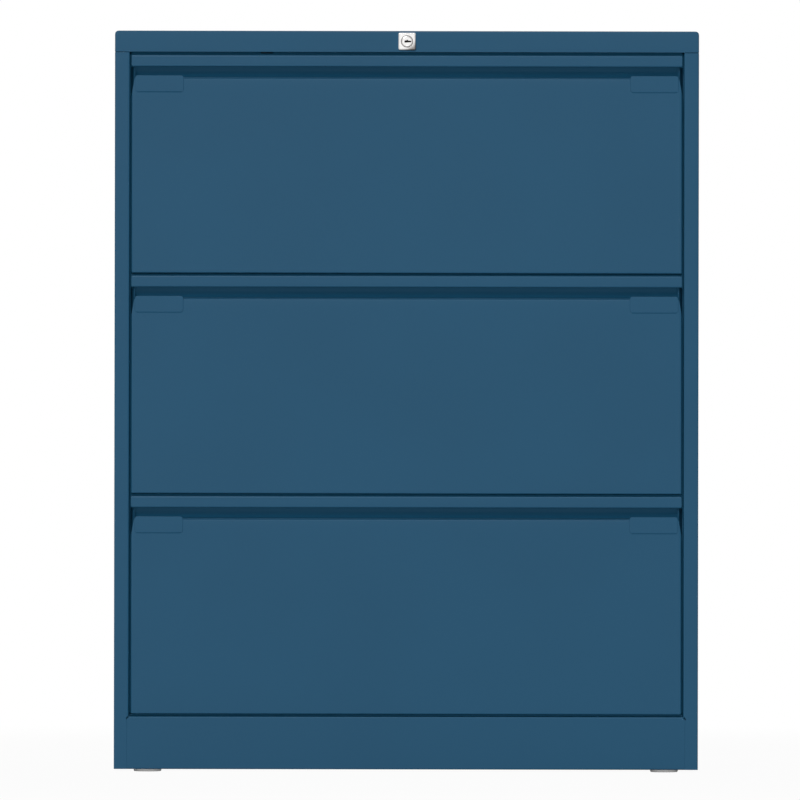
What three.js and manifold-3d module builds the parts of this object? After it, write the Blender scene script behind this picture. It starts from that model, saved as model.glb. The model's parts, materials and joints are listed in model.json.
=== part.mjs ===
import * as THREE from 'three';
import { mergeVertices } from 'three/addons/utils/BufferGeometryUtils.js';
import Module from 'manifold-3d';

const wasm = await Module();
wasm.setup();

// A three-drawer lateral filing cabinet in folded sheet steel, with one central lock.
// Millimetres, +Z up, the front faces -Y, and the origin lies on the floor under the middle.

// Carcase and the lines of the front.
const WIDTH = 800;
const DEPTH = 470;
const HEIGHT = 1016;
const DRAWERS = 3;
const CAP_FLANGE = 29;
const CAP_CORNER = 5;
const CAP_LIP = 13;
const CAP_SEAM = 0.6;
const STILE_FACE = 20.5;
const STILE_RETURN = 20;
const REAR_FLANGE = 15;
const PLINTH_HEIGHT = 77;
const PLINTH_RETURN = 18;
const CORNER_RELIEF = 2.5;
const RELIEF_LENGTH = 5;
const RELIEF_WIDTH = 1.8;
const FLOOR_GAP = 4.6;
const TOP_GAP = 4;
const FRONT_GAP = 3;
const SIDE_GAP = 2.4;
const BASE_TOP = 30;
const BASE_SKIRT = 20;
const BASE_SETBACK = 22;
const UPRIGHT_WIDTH = 40;
const UPRIGHT_SETBACK = 60;
const UPRIGHT_HEADROOM = 3;
const HOOK_PITCH = 80;
const HOOK_HEIGHT = 16;
const HOOK_WIDTH = 4;
const BACK_BEADS = 3;
const BACK_BEAD_MARGIN = 110;
const BACK_BEAD_WIDTH = 30;
const BACK_BEAD_DEPTH = 3;

// Sheet gauges, the inside radius of a fold and the clearances between pieces.
const CARCASE_SHEET = 1;
const FRONT_SHEET = 1;
const TRAY_SHEET = 0.9;
const UPRIGHT_SHEET = 1.5;
const RUNNER_SHEET = 1.2;
const RAIL_SHEET = 1.5;
const LOCK_SHEET = 2;
const GUIDE_SHEET = 1.2;
const BEND = 1;
const TIGHT_BEND = 0.5;
const SEAT = 0.3;
const RUN = 0.4;

// Drawer front: a face panel with a tab at each top corner, under a full-width grip rail.
const FRONT_DEPTH = 26;
const FRONT_CORNER = 1.5;
const BAND_HEIGHT = 16;
const BAND_CORNER = 2.5;
const GRIP_OPENING = 15.8;
const GRIP_INSET = 4.3;
const SCOOP_RADIUS = 10;
const SCOOP_SETBACK = 5;
const HEM_HEIGHT = 7;
const HEM_DEPTH = 3.2;
const TAPER_INSET = 4.6;
const TAPER_HEIGHT = 27;
const TAB_INSET = 5.1;
const TAB_WIDTH = 66;
const TAB_HEIGHT = 22;
const TAB_RISE = 3.4;
const TAB_PROUD = 0.8;
const TAB_CORNER = 3;

// Drawer tray and the two rails that suspension files hang on.
const TRAY_LIFT = 14;
const RAIL_HEADROOM = 12.5;
const TRAY_REAR_SPACE = 28;
const TRAY_RIM = 10;
const RIM_NOTCH = 1;
const INNER_FRONT_MARGIN = 1.5;
const GAP_CLEARANCE = 0.8;
const TRAY_BEADS = 4;
const TRAY_BEAD_MARGIN = 40;
const TRAY_BEAD_WIDTH = 26;
const TRAY_BEAD_HEIGHT = 2.5;
const FILE_RAIL_HEIGHT = 18;
const FILE_RAIL_FOOT = 14;
const FILE_RAIL_SETBACK = 9;

// Telescopic runners in three nested members.
const RUNNER_WIDTH = 12.7;
const RUNNER_HEIGHT = 46;
const RUNNER_RISE = 70;
const RUNNER_SETBACK = 4;
const RUNNER_CLEARANCE = 1.3;
const RUNNER_REACH = 9.2;
const RUNNER_LIP = 3.5;
const MIDDLE_LIP = 3.9;
const WINDOWS = 3;
const WINDOW_LENGTH = 46;
const WINDOW_HEIGHT = 14;
const WINDOW_CORNER = 4;

// Levelling feet.
const FOOT_RADIUS = 19;
const FOOT_NECK = 10;
const FOOT_PAD = 4;
const FOOT_CONE = 5;
const STEM_RADIUS = 4;
const STEM_TOP = 46;
const BOSS_RADIUS = 9;
const BOSS_HEIGHT = 10;
const FOOT_INSET_X = 45;
const FOOT_INSET_Y = 55;

// Lock face, barrel and the linkage behind the top rail.
const LOCK_PLATE = 24;
const LOCK_PROUD = 4;
const LOCK_CORNER = 2.5;
const LOCK_EDGE = 1.5;
const LOCK_BODY_RADIUS = 9.5;
const LOCK_BODY_LENGTH = 17;
const LOCK_NUT_RADIUS = 12.5;
const LOCK_NUT_LENGTH = 5;
const BARREL_RADIUS = 8;
const BARREL_RECESS = 0.5;
const BARREL_TAIL = 5;
const KEYWAY_LENGTH = 9;
const KEYWAY_WIDTH = 1.8;
const KEYWAY_DEPTH = 9;
const MECHANISM_SETBACK = 6;
const LAYER_GAP = 0.6;
const CRANK_RADIUS = 9;
const HUB_RADIUS = 6;
const EYE_RADIUS = 4;
const PIN_RADIUS = 2;
const PIN_PLAY = 0.7;
const PIN_HEAD = 3.5;
const LINK_WALL = 2;
const LINK_TOP_WALL = 1.2;
const BAR_WIDTH = 14;
const BAR_OFFSET = 0.6;
const BAR_WALL = 2.3;
const BAR_FOOT = 100;
const FORK_WALL = 2.4;
const FORK_NECK = 23;
const FORK_CLEARANCE = 1.6;
const BRACKET_HALF = 4.5;
const BRACKET_FOOT = 16;
const GUIDE_FOOT = 9;
const GUIDE_HEIGHT = 20;
const GUIDE_RISE_UPPER = 220;
const GUIDE_RISE_LOWER = 200;
const LINK_GUIDE_WIDTH = 16;
const LINK_GUIDE_LIP = 8;
const LUG_RISE = 170;
const LUG_HEIGHT = 20;
const LUG_GAP = 1.5;
const LUG_MARGIN = 0.7;
const CATCH_FOOT = 28;
const FINGER_HEIGHT = 24;
const FINGER_DROP = 2;
const FINGER_CLEARANCE = 5.5;

// Facets of round forms.
const FOLD_STEPS = 3;
const SCOOP_STEPS = 10;
const PIN_STEPS = 16;
const ROUND_STEPS = 28;
const ARM_STEPS = 8;
const MERGE = 1e-4;
const OVERCUT = 1;

// Places that follow from the sizes above.
const FRONT_Y = -DEPTH / 2;
const BACK_Y = DEPTH / 2;
const HALF = WIDTH / 2;
const INSIDE_HALF = HALF - CARCASE_SHEET;
const UNDER_CAP = HEIGHT - CARCASE_SHEET;
const OPENING_HALF = HALF - STILE_FACE;
const OPENING_TOP = HEIGHT - CAP_FLANGE;
const FRONT_HALF = OPENING_HALF - SIDE_GAP;
const FRONT_HEIGHT = (OPENING_TOP - TOP_GAP - PLINTH_HEIGHT) / DRAWERS - FRONT_GAP;
const BAND_FOOT = FRONT_HEIGHT - BAND_HEIGHT;
const PANEL_HEIGHT = BAND_FOOT - GRIP_OPENING;
const UPRIGHT_X = OPENING_HALF - RUNNER_CLEARANCE;
const TRAY_HALF = UPRIGHT_X - RUNNER_WIDTH;
const TRAY_FRONT = FRONT_Y + FRONT_DEPTH;
const TRAY_BACK = BACK_Y - TRAY_REAR_SPACE;
const TRAY_TOP = FRONT_HEIGHT - RAIL_HEADROOM - FILE_RAIL_HEIGHT;
const RUNNER_FRONT = TRAY_FRONT + RUNNER_SETBACK;
const RUNNER_BACK = TRAY_BACK - RUNNER_SETBACK;
const LOCK_Z = HEIGHT - CAP_FLANGE / 2;
const CAM_FRONT = FRONT_Y + STILE_RETURN + MECHANISM_SETBACK;
const CAM_BACK = CAM_FRONT + LOCK_SHEET;
const LINK_FRONT = CAM_BACK + LAYER_GAP;
const LINK_BACK = LINK_FRONT + LOCK_SHEET;
const BAR_FRONT = LINK_BACK + LAYER_GAP;
const BAR_BACK = BAR_FRONT + LOCK_SHEET;
const BAR_OUTSIDE = INSIDE_HALF - BAR_OFFSET;
const SLOT_HALF = PIN_RADIUS + PIN_PLAY;
const PIVOT_X = BAR_OUTSIDE - BAR_WALL - SLOT_HALF - CRANK_RADIUS;
const PIN_SWING = CRANK_RADIUS * Math.SQRT1_2;
const LINK_TOP = LOCK_Z - PIN_SWING + SLOT_HALF + LINK_TOP_WALL;
const LINK_FOOT = LOCK_Z - CRANK_RADIUS - SLOT_HALF - LINK_WALL;

// Height of the lower edge of a drawer front, counted from the top drawer.
function frontFoot(drawer) {
  return OPENING_TOP - TOP_GAP - FRONT_HEIGHT - (drawer - 1) * (FRONT_HEIGHT + FRONT_GAP);
}

// A closed solid from a geometry, and a geometry from a closed solid.
function solid(geometry) {
  const plain = geometry.clone();
  plain.deleteAttribute('normal');
  plain.deleteAttribute('uv');
  const merged = mergeVertices(plain, MERGE);
  const index = merged.index.array;
  const triangles = [];
  for (let i = 0; i < index.length; i += 3) {
    const [a, b, c] = index.slice(i, i + 3);
    if (a !== b && b !== c && c !== a) {
      triangles.push(a, b, c);
    }
  }
  const mesh = new wasm.Mesh({
    numProp: 3,
    vertProperties: merged.attributes.position.array,
    triVerts: Uint32Array.from(triangles),
  });
  return new wasm.Manifold(mesh);
}

function shell(manifold) {
  const mesh = manifold.getMesh();
  const geometry = new THREE.BufferGeometry();
  geometry.setAttribute('position', new THREE.BufferAttribute(mesh.vertProperties, mesh.numProp));
  geometry.setIndex(new THREE.BufferAttribute(mesh.triVerts, 1));
  return geometry;
}

function joined(...pieces) {
  return shell(pieces.map(solid).reduce((whole, piece) => whole.add(piece)));
}

function cut(body, ...tools) {
  return shell(tools.map(solid).reduce((whole, tool) => whole.subtract(tool), solid(body)));
}

function shared(...pieces) {
  return shell(pieces.map(solid).reduce((whole, piece) => whole.intersect(piece)));
}

// The same piece on the other side of the cabinet.
function mirrored(geometry) {
  const other = shell(solid(geometry));
  other.scale(-1, 1, 1);
  const index = other.index.array;
  for (let i = 0; i < index.length; i += 3) {
    [index[i], index[i + 1]] = [index[i + 1], index[i]];
  }
  return other;
}

function box(x0, x1, y0, y1, z0, z1) {
  const geometry = new THREE.BoxGeometry(x1 - x0, y1 - y0, z1 - z0);
  return geometry.translate((x0 + x1) / 2, (y0 + y1) / 2, (z0 + z1) / 2);
}

// A flat outline pushed along one axis: (y, z) along X, (x, z) along Y, (x, y) along Z.
function extruded(shape, depth) {
  return new THREE.ExtrudeGeometry(shape, { depth, bevelEnabled: false, curveSegments: ARM_STEPS });
}

function alongX(shape, x0, x1) {
  const turn = new THREE.Matrix4().makeBasis(
    new THREE.Vector3(0, 1, 0),
    new THREE.Vector3(0, 0, 1),
    new THREE.Vector3(1, 0, 0),
  );
  return extruded(shape, x1 - x0).applyMatrix4(turn).translate(x0, 0, 0);
}

function alongY(shape, y0, y1) {
  const turn = new THREE.Matrix4().makeBasis(
    new THREE.Vector3(1, 0, 0),
    new THREE.Vector3(0, 0, 1),
    new THREE.Vector3(0, -1, 0),
  );
  return extruded(shape, y1 - y0).applyMatrix4(turn).translate(0, y1, 0);
}

function alongZ(shape, z0, z1) {
  return extruded(shape, z1 - z0).translate(0, 0, z0);
}

// A round bar along Y.
function barAlongY(x, z, radius, y0, y1, steps) {
  const geometry = new THREE.CylinderGeometry(radius, radius, y1 - y0, steps);
  return geometry.translate(x, (y0 + y1) / 2, z);
}

// A polygon whose corners [u, v, radius] are rounded where a radius is given.
function outline(corners) {
  const spots = [];
  corners.forEach(([u, v, radius = 0], i) => {
    const here = new THREE.Vector2(u, v);
    if (radius <= 0) {
      spots.push(here);
      return;
    }
    const [u0, v0] = corners[(i + corners.length - 1) % corners.length];
    const [u1, v1] = corners[(i + 1) % corners.length];
    const back = new THREE.Vector2(u0 - u, v0 - v).normalize();
    const ahead = new THREE.Vector2(u1 - u, v1 - v).normalize();
    const half = Math.acos(THREE.MathUtils.clamp(back.dot(ahead), -1, 1)) / 2;
    const middle = back.clone().add(ahead).normalize();
    const centre = here.clone().addScaledVector(middle, radius / Math.sin(half));
    const start = here.clone().addScaledVector(back, radius / Math.tan(half)).sub(centre);
    const sweep = Math.sign(back.cross(ahead)) * (2 * half - Math.PI);
    for (let step = 0; step <= FOLD_STEPS; step += 1) {
      const spoke = start.clone().rotateAround(new THREE.Vector2(), (sweep * step) / FOLD_STEPS);
      spots.push(spoke.add(centre));
    }
  });
  return new THREE.Shape(spots);
}

// Cross-section of a folded sheet. The corners [u, v, inside radius] trace one face of it;
// the sheet lies to the left of that line for side 1 and to the right for side -1.
function foldedStrip(corners, thickness, side) {
  const line = corners.map(([u, v]) => new THREE.Vector2(u, v));
  const ways = line.slice(1).map((spot, i) => spot.clone().sub(line[i]).normalize());
  const normals = ways.map((way) => new THREE.Vector2(-way.y, way.x));
  const left = [];
  const right = [];
  line.forEach((spot, i) => {
    const before = normals[Math.max(i - 1, 0)];
    const after = normals[Math.min(i, normals.length - 1)];
    const lean = before.clone().add(after).divideScalar(1 + before.dot(after));
    const middle = spot.clone().addScaledVector(lean, (side * thickness) / 2);
    const turn = Math.atan2(before.cross(after), before.dot(after));
    const inside = corners[i][2] ?? BEND;
    const radius = inside + thickness / 2;
    const steps = turn === 0 ? 0 : inside > BEND ? SCOOP_STEPS : FOLD_STEPS;
    const hand = Math.sign(turn);
    const centre = middle.clone();
    if (steps > 0) {
      centre.addScaledVector(ways[i - 1], -radius * Math.tan(Math.abs(turn) / 2));
      centre.addScaledVector(before, hand * radius);
    }
    for (let step = 0; step <= steps; step += 1) {
      const angle = steps > 0 ? (turn * step) / steps : 0;
      const normal = before.clone().rotateAround(new THREE.Vector2(), angle);
      const mark = centre.clone();
      if (steps > 0) {
        mark.addScaledVector(normal, -hand * radius);
      }
      left.push(mark.clone().addScaledVector(normal, thickness / 2));
      right.push(mark.clone().addScaledVector(normal, -thickness / 2));
    }
  });
  return new THREE.Shape([...left, ...right.reverse()]);
}

// A stiffening bead pressed into a sheet: proud stands on the sheet's face, which lies at z = 0,
// and hollow is the dent that follows it on the other face. The bead runs along y.
function bead(width, length, height, thickness) {
  const half = width / 2 - height;
  const reach = length / 2 - height;
  const crown = outline([
    [-half, -reach, half / 2],
    [half, -reach, half / 2],
    [half, reach, half / 2],
    [-half, reach, half / 2],
  ]);
  const block = new THREE.ExtrudeGeometry(crown, {
    depth: height,
    bevelSize: height,
    bevelThickness: height,
    bevelSegments: 1,
  });
  block.translate(0, 0, -height);
  const below = box(-width, width, -length, length, -3 * height, -thickness / 2);
  return { proud: cut(block, below), hollow: block.translate(0, 0, -thickness) };
}

// Middles of a number of equal fields side by side across a width, which is centred on zero.
function fields(count, width) {
  return Array.from({ length: count }, (_, i) => ((i + 0.5) / count - 0.5) * width);
}

// The outline around two circles, as a lever arm has it.
function leverArm(x0, z0, r0, x1, z1, r1) {
  const away = Math.atan2(z1 - z0, x1 - x0);
  const tilt = Math.acos((r0 - r1) / Math.hypot(x1 - x0, z1 - z0));
  const shape = new THREE.Shape();
  shape.absarc(x0, z0, r0, away + tilt, away - tilt + 2 * Math.PI, false);
  shape.absarc(x1, z1, r1, away - tilt, away + tilt, false);
  return shape;
}

// Side of the carcase: stile, side wall and rear flange in one folded sheet.
// A flap closes the foot of the hollow stile.
function sidePanel() {
  const profile = foldedStrip(
    [
      [OPENING_HALF, FRONT_Y + STILE_RETURN],
      [OPENING_HALF, FRONT_Y],
      [HALF, FRONT_Y],
      [HALF, BACK_Y],
      [HALF - REAR_FLANGE, BACK_Y],
    ],
    CARCASE_SHEET,
    1,
  );
  const plinthNotch = box(
    OPENING_HALF - OVERCUT,
    OPENING_HALF + CORNER_RELIEF,
    FRONT_Y - OVERCUT,
    FRONT_Y + STILE_RETURN + OVERCUT,
    0,
    PLINTH_HEIGHT,
  );
  const core = CARCASE_SHEET / 2;
  const flapEdge = OPENING_HALF + CORNER_RELIEF + SEAT;
  const flapView = outline([
    [flapEdge, FRONT_Y + core],
    [HALF - core, FRONT_Y + core, BEND + core],
    [HALF - core, FRONT_Y + STILE_RETURN],
    [flapEdge, FRONT_Y + STILE_RETURN],
  ]);
  const flap = alongZ(flapView, FLOOR_GAP, FLOOR_GAP + CARCASE_SHEET);
  const sheet = joined(alongZ(profile, FLOOR_GAP, OPENING_TOP - CAP_SEAM), flap);
  return cut(sheet, plinthNotch, cornerRelief());
}

// The slanted relief slot at a lower corner of the drawer opening.
function cornerRelief() {
  const slot = new THREE.BoxGeometry(2 * RELIEF_LENGTH, 4 * CARCASE_SHEET, RELIEF_WIDTH);
  return slot.rotateY(Math.PI / 4).translate(OPENING_HALF, FRONT_Y, PLINTH_HEIGHT);
}

// Plinth with a low lip along the back of its top, behind the gap under the lowest drawer.
// The lip ends short of the stiles.
function plinth() {
  const half = OPENING_HALF + CORNER_RELIEF;
  const lipTop = PLINTH_HEIGHT + FRONT_GAP - GAP_CLEARANCE;
  const profile = foldedStrip(
    [
      [FRONT_Y + PLINTH_RETURN, lipTop],
      [FRONT_Y + PLINTH_RETURN, PLINTH_HEIGHT],
      [FRONT_Y, PLINTH_HEIGHT],
      [FRONT_Y, FLOOR_GAP],
      [FRONT_Y + PLINTH_RETURN, FLOOR_GAP],
    ],
    CARCASE_SHEET,
    1,
  );
  const lipEnd = box(
    OPENING_HALF - SEAT,
    half + OVERCUT,
    FRONT_Y,
    FRONT_Y + STILE_RETURN,
    PLINTH_HEIGHT,
    lipTop + OVERCUT,
  );
  const tools = [lipEnd, cornerRelief()];
  return cut(alongX(profile, -half, half), ...tools, ...tools.map(mirrored));
}

// Outside of the top cap, or its hollow when drawn in by the sheet thickness.
function capBlock(inset) {
  const half = HALF - inset;
  const front = FRONT_Y + inset;
  const back = BACK_Y - inset;
  const top = HEIGHT - inset;
  const foot = inset > 0 ? OPENING_TOP - OVERCUT : OPENING_TOP;
  const edge = BEND + CARCASE_SHEET - inset;
  const corner = CAP_CORNER - inset;
  const frontView = outline([
    [-half, foot],
    [half, foot],
    [half, top, corner],
    [-half, top, corner],
  ]);
  const sideView = outline([
    [front, foot],
    [back, foot],
    [back, top, edge],
    [front, top, edge],
  ]);
  const plan = outline([
    [-half, front, edge],
    [half, front, edge],
    [half, back, edge],
    [-half, back, edge],
  ]);
  return shared(alongY(frontView, front, back), alongX(sideView, -half, half), alongZ(plan, foot, top));
}

function topCap() {
  const lip = box(
    -OPENING_HALF,
    OPENING_HALF,
    FRONT_Y + CARCASE_SHEET / 2,
    FRONT_Y + CAP_LIP,
    OPENING_TOP,
    OPENING_TOP + CARCASE_SHEET,
  );
  const lockHole = barAlongY(
    0,
    LOCK_Z,
    LOCK_BODY_RADIUS + SEAT,
    FRONT_Y - OVERCUT,
    FRONT_Y + CARCASE_SHEET + OVERCUT,
    ROUND_STEPS,
  );
  return cut(joined(cut(capBlock(0), capBlock(CARCASE_SHEET)), lip), lockHole);
}

// Back sheet inside the rear flanges, beaded inwards, its upper corners rounded to sit in the top cap.
function backPanel() {
  const half = INSIDE_HALF - BEND;
  const back = BACK_Y - CARCASE_SHEET - SEAT;
  const sheet = outline([
    [-half, BASE_TOP - BASE_SKIRT],
    [half, BASE_TOP - BASE_SKIRT],
    [half, UNDER_CAP - BEND, CAP_CORNER],
    [-half, UNDER_CAP - BEND, CAP_CORNER],
  ]);
  const face = back - CARCASE_SHEET;
  const length = HEIGHT - 2 * BACK_BEAD_MARGIN;
  const press = bead(BACK_BEAD_WIDTH, length, BACK_BEAD_DEPTH, CARCASE_SHEET);
  const places = fields(BACK_BEADS, 2 * half);
  const stand = (form, x) => form.clone().rotateX(Math.PI / 2).translate(x, face, HEIGHT / 2);
  const proud = places.map((x) => stand(press.proud, x));
  const hollows = places.map((x) => stand(press.hollow, x));
  return cut(joined(alongY(sheet, face, back), ...proud), ...hollows);
}

function footPlaces() {
  const x = HALF - FOOT_INSET_X;
  return [
    ['front_left', -x, FRONT_Y + FOOT_INSET_Y],
    ['front_right', x, FRONT_Y + FOOT_INSET_Y],
    ['rear_left', -x, BACK_Y - FOOT_INSET_Y],
    ['rear_right', x, BACK_Y - FOOT_INSET_Y],
  ];
}

// Floor of the carcase, a shallow pan turned down, with a weld nut over each foot.
function basePanel() {
  const half = INSIDE_HALF - SEAT;
  const front = FRONT_Y + BASE_SETBACK;
  const back = BACK_Y - 2 * CARCASE_SHEET - 2 * SEAT;
  const foot = BASE_TOP - BASE_SKIRT;
  const pan = cut(
    box(-half, half, front, back, foot, BASE_TOP),
    box(
      -half + CARCASE_SHEET,
      half - CARCASE_SHEET,
      front + CARCASE_SHEET,
      back - CARCASE_SHEET,
      foot - OVERCUT,
      BASE_TOP - CARCASE_SHEET,
    ),
  );
  const nuts = footPlaces().map(([, x, y]) => {
    const nut = new THREE.CylinderGeometry(BOSS_RADIUS, BOSS_RADIUS, BOSS_HEIGHT, 6);
    return nut.rotateX(Math.PI / 2).translate(x, y, BASE_TOP + BOSS_HEIGHT / 2);
  });
  const bores = footPlaces().map(([, x, y]) => {
    const radius = STEM_RADIUS + SEAT;
    const bore = new THREE.CylinderGeometry(radius, radius, 2 * STEM_TOP, PIN_STEPS);
    return bore.rotateX(Math.PI / 2).translate(x, y, STEM_TOP);
  });
  return cut(joined(pan, ...nuts), ...bores);
}

function levellingFoot(x, y) {
  const profile = [
    [0, 0],
    [FOOT_RADIUS - BEND, 0],
    [FOOT_RADIUS, BEND],
    [FOOT_RADIUS, FOOT_PAD],
    [FOOT_NECK, FOOT_PAD + FOOT_CONE],
    [STEM_RADIUS, FOOT_PAD + FOOT_CONE],
    [STEM_RADIUS, STEM_TOP - BEND],
    [STEM_RADIUS - BEND, STEM_TOP],
    [0, STEM_TOP],
  ];
  const turned = new THREE.LatheGeometry(profile.map(([r, z]) => new THREE.Vector2(r, z)), PIN_STEPS);
  return shell(solid(turned.rotateX(Math.PI / 2))).translate(x, y, 0);
}

// Upright channel inside the carcase that carries the outer runners, slotted for their hooks.
function upright(front) {
  const profile = foldedStrip(
    [
      [INSIDE_HALF, front],
      [UPRIGHT_X, front],
      [UPRIGHT_X, front + UPRIGHT_WIDTH],
      [INSIDE_HALF, front + UPRIGHT_WIDTH],
    ],
    UPRIGHT_SHEET,
    -1,
  );
  const top = OPENING_TOP - UPRIGHT_HEADROOM;
  const middle = front + UPRIGHT_WIDTH / 2;
  const slots = [];
  for (let z = BASE_TOP + HOOK_PITCH; z < top - HOOK_HEIGHT; z += HOOK_PITCH) {
    slots.push(
      box(
        UPRIGHT_X - OVERCUT,
        UPRIGHT_X + UPRIGHT_SHEET + OVERCUT,
        middle - HOOK_WIDTH / 2,
        middle + HOOK_WIDTH / 2,
        z - HOOK_HEIGHT / 2,
        z + HOOK_HEIGHT / 2,
      ),
    );
  }
  return cut(alongZ(profile, BASE_TOP, top), ...slots);
}

// The nested runner members, each a folded strip along the drawer.
function runnerMember(corners, side) {
  const placed = corners.map(([u, v]) => [TRAY_HALF + u, RUNNER_RISE + v, TIGHT_BEND]);
  return alongY(foldedStrip(placed, RUNNER_SHEET, side), RUNNER_FRONT, RUNNER_BACK);
}

const OUTER_TOP = RUNNER_HEIGHT / 2;
const OUTER_LIP = RUNNER_WIDTH - RUNNER_REACH;
const MIDDLE_TOP = OUTER_TOP - RUNNER_SHEET - RUN;
const MIDDLE_WEB = RUNNER_WIDTH - RUNNER_SHEET - RUN;
const MIDDLE_MOUTH = OUTER_LIP + RUNNER_SHEET + RUN;
const MIDDLE_LIP_END = MIDDLE_TOP - MIDDLE_LIP;
const INNER_FOOT = MIDDLE_MOUTH + RUNNER_SHEET + RUN;
const INNER_TIP = MIDDLE_TOP - RUNNER_SHEET - RUN;
const INNER_LEG = MIDDLE_LIP_END - RUN;

function runnerOuter() {
  const lipEnd = OUTER_TOP - RUNNER_LIP;
  return runnerMember(
    [
      [OUTER_LIP, lipEnd],
      [OUTER_LIP, OUTER_TOP],
      [RUNNER_WIDTH, OUTER_TOP],
      [RUNNER_WIDTH, -OUTER_TOP],
      [OUTER_LIP, -OUTER_TOP],
      [OUTER_LIP, -lipEnd],
    ],
    -1,
  );
}

function runnerMiddle() {
  const channel = runnerMember(
    [
      [MIDDLE_MOUTH, MIDDLE_LIP_END],
      [MIDDLE_MOUTH, MIDDLE_TOP],
      [MIDDLE_WEB, MIDDLE_TOP],
      [MIDDLE_WEB, -MIDDLE_TOP],
      [MIDDLE_MOUTH, -MIDDLE_TOP],
      [MIDDLE_MOUTH, -MIDDLE_LIP_END],
    ],
    -1,
  );
  const web = TRAY_HALF + MIDDLE_WEB;
  const middle = (RUNNER_FRONT + RUNNER_BACK) / 2;
  const windows = fields(WINDOWS, RUNNER_BACK - RUNNER_FRONT).map((y) => {
    const u = WINDOW_LENGTH / 2;
    const v = WINDOW_HEIGHT / 2;
    const window = outline([
      [middle + y - u, RUNNER_RISE - v + WINDOW_CORNER],
      [middle + y - u + WINDOW_CORNER, RUNNER_RISE - v],
      [middle + y + u - WINDOW_CORNER, RUNNER_RISE - v],
      [middle + y + u, RUNNER_RISE - v + WINDOW_CORNER],
      [middle + y + u, RUNNER_RISE + v - WINDOW_CORNER],
      [middle + y + u - WINDOW_CORNER, RUNNER_RISE + v],
      [middle + y - u + WINDOW_CORNER, RUNNER_RISE + v],
      [middle + y - u, RUNNER_RISE + v - WINDOW_CORNER],
    ]);
    return alongX(window, web - RUNNER_SHEET - RUN, web + RUN);
  });
  return cut(channel, ...windows);
}

function runnerInner() {
  return runnerMember(
    [
      [INNER_FOOT, INNER_TIP],
      [INNER_FOOT, INNER_LEG],
      [0, INNER_LEG],
      [0, -INNER_LEG],
      [INNER_FOOT, -INNER_LEG],
      [INNER_FOOT, -INNER_TIP],
    ],
    1,
  );
}

// Outside of the face panel, or its hollow when drawn in by the sheet thickness.
function panelBlock(inset) {
  const half = FRONT_HALF - inset;
  const face = FRONT_Y + inset;
  const back = FRONT_Y + FRONT_DEPTH + (inset > 0 ? OVERCUT : 0);
  const foot = inset;
  const top = PANEL_HEIGHT - inset;
  const edge = BEND + FRONT_SHEET - inset;
  const corner = FRONT_CORNER + BEND - inset;
  const taperFoot = PANEL_HEIGHT + TAB_RISE - TAPER_HEIGHT;
  const taperHalf = half - (TAPER_INSET * (top - taperFoot)) / TAPER_HEIGHT;
  const frontView = outline([
    [-half, foot, corner],
    [half, foot, corner],
    [half, taperFoot],
    [taperHalf, top, edge],
    [-taperHalf, top, edge],
    [-half, taperFoot],
  ]);
  const sideView = outline([
    [face, foot, edge],
    [back, foot],
    [back, top],
    [face, top, edge],
  ]);
  const plan = outline([
    [-half, face, edge],
    [half, face, edge],
    [half, back],
    [-half, back],
  ]);
  return shared(alongY(frontView, face, back), alongX(sideView, -half, half), alongZ(plan, foot, top));
}

function frontPanel() {
  const outside = FRONT_HALF - TAB_INSET;
  const top = PANEL_HEIGHT + TAB_RISE;
  const tab = alongY(
    outline([
      [outside - TAB_WIDTH, top - TAB_HEIGHT, TAB_CORNER],
      [outside, top - TAB_HEIGHT, TAB_CORNER],
      [outside, top, TAB_CORNER],
      [outside - TAB_WIDTH, top, TAB_CORNER],
    ]),
    FRONT_Y - TAB_PROUD,
    FRONT_Y + FRONT_SHEET,
  );
  return joined(cut(panelBlock(0), panelBlock(FRONT_SHEET)), tab, mirrored(tab));
}

// Full-width grip: hemmed band in front, flat top, and a back wall that sweeps forward as a scoop.
function gripRail() {
  const back = FRONT_Y + FRONT_DEPTH;
  const profile = foldedStrip(
    [
      [FRONT_Y + HEM_DEPTH, BAND_FOOT + HEM_HEIGHT],
      [FRONT_Y + HEM_DEPTH, BAND_FOOT, TIGHT_BEND],
      [FRONT_Y, BAND_FOOT, TIGHT_BEND],
      [FRONT_Y, FRONT_HEIGHT],
      [back, FRONT_HEIGHT],
      [back, PANEL_HEIGHT, SCOOP_RADIUS],
      [FRONT_Y + SCOOP_SETBACK, PANEL_HEIGHT],
    ],
    FRONT_SHEET,
    -1,
  );
  const inner = FRONT_HALF - GRIP_INSET;
  const frontView = outline([
    [-inner, PANEL_HEIGHT - OVERCUT],
    [inner, PANEL_HEIGHT - OVERCUT],
    [inner, BAND_FOOT],
    [FRONT_HALF, BAND_FOOT, BAND_CORNER],
    [FRONT_HALF, FRONT_HEIGHT, BAND_CORNER],
    [-FRONT_HALF, FRONT_HEIGHT, BAND_CORNER],
    [-FRONT_HALF, BAND_FOOT, BAND_CORNER],
    [-inner, BAND_FOOT],
  ]);
  const reach = FRONT_HALF + OVERCUT;
  return shared(alongX(profile, -reach, reach), alongY(frontView, FRONT_Y - OVERCUT, back + OVERCUT));
}

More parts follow.
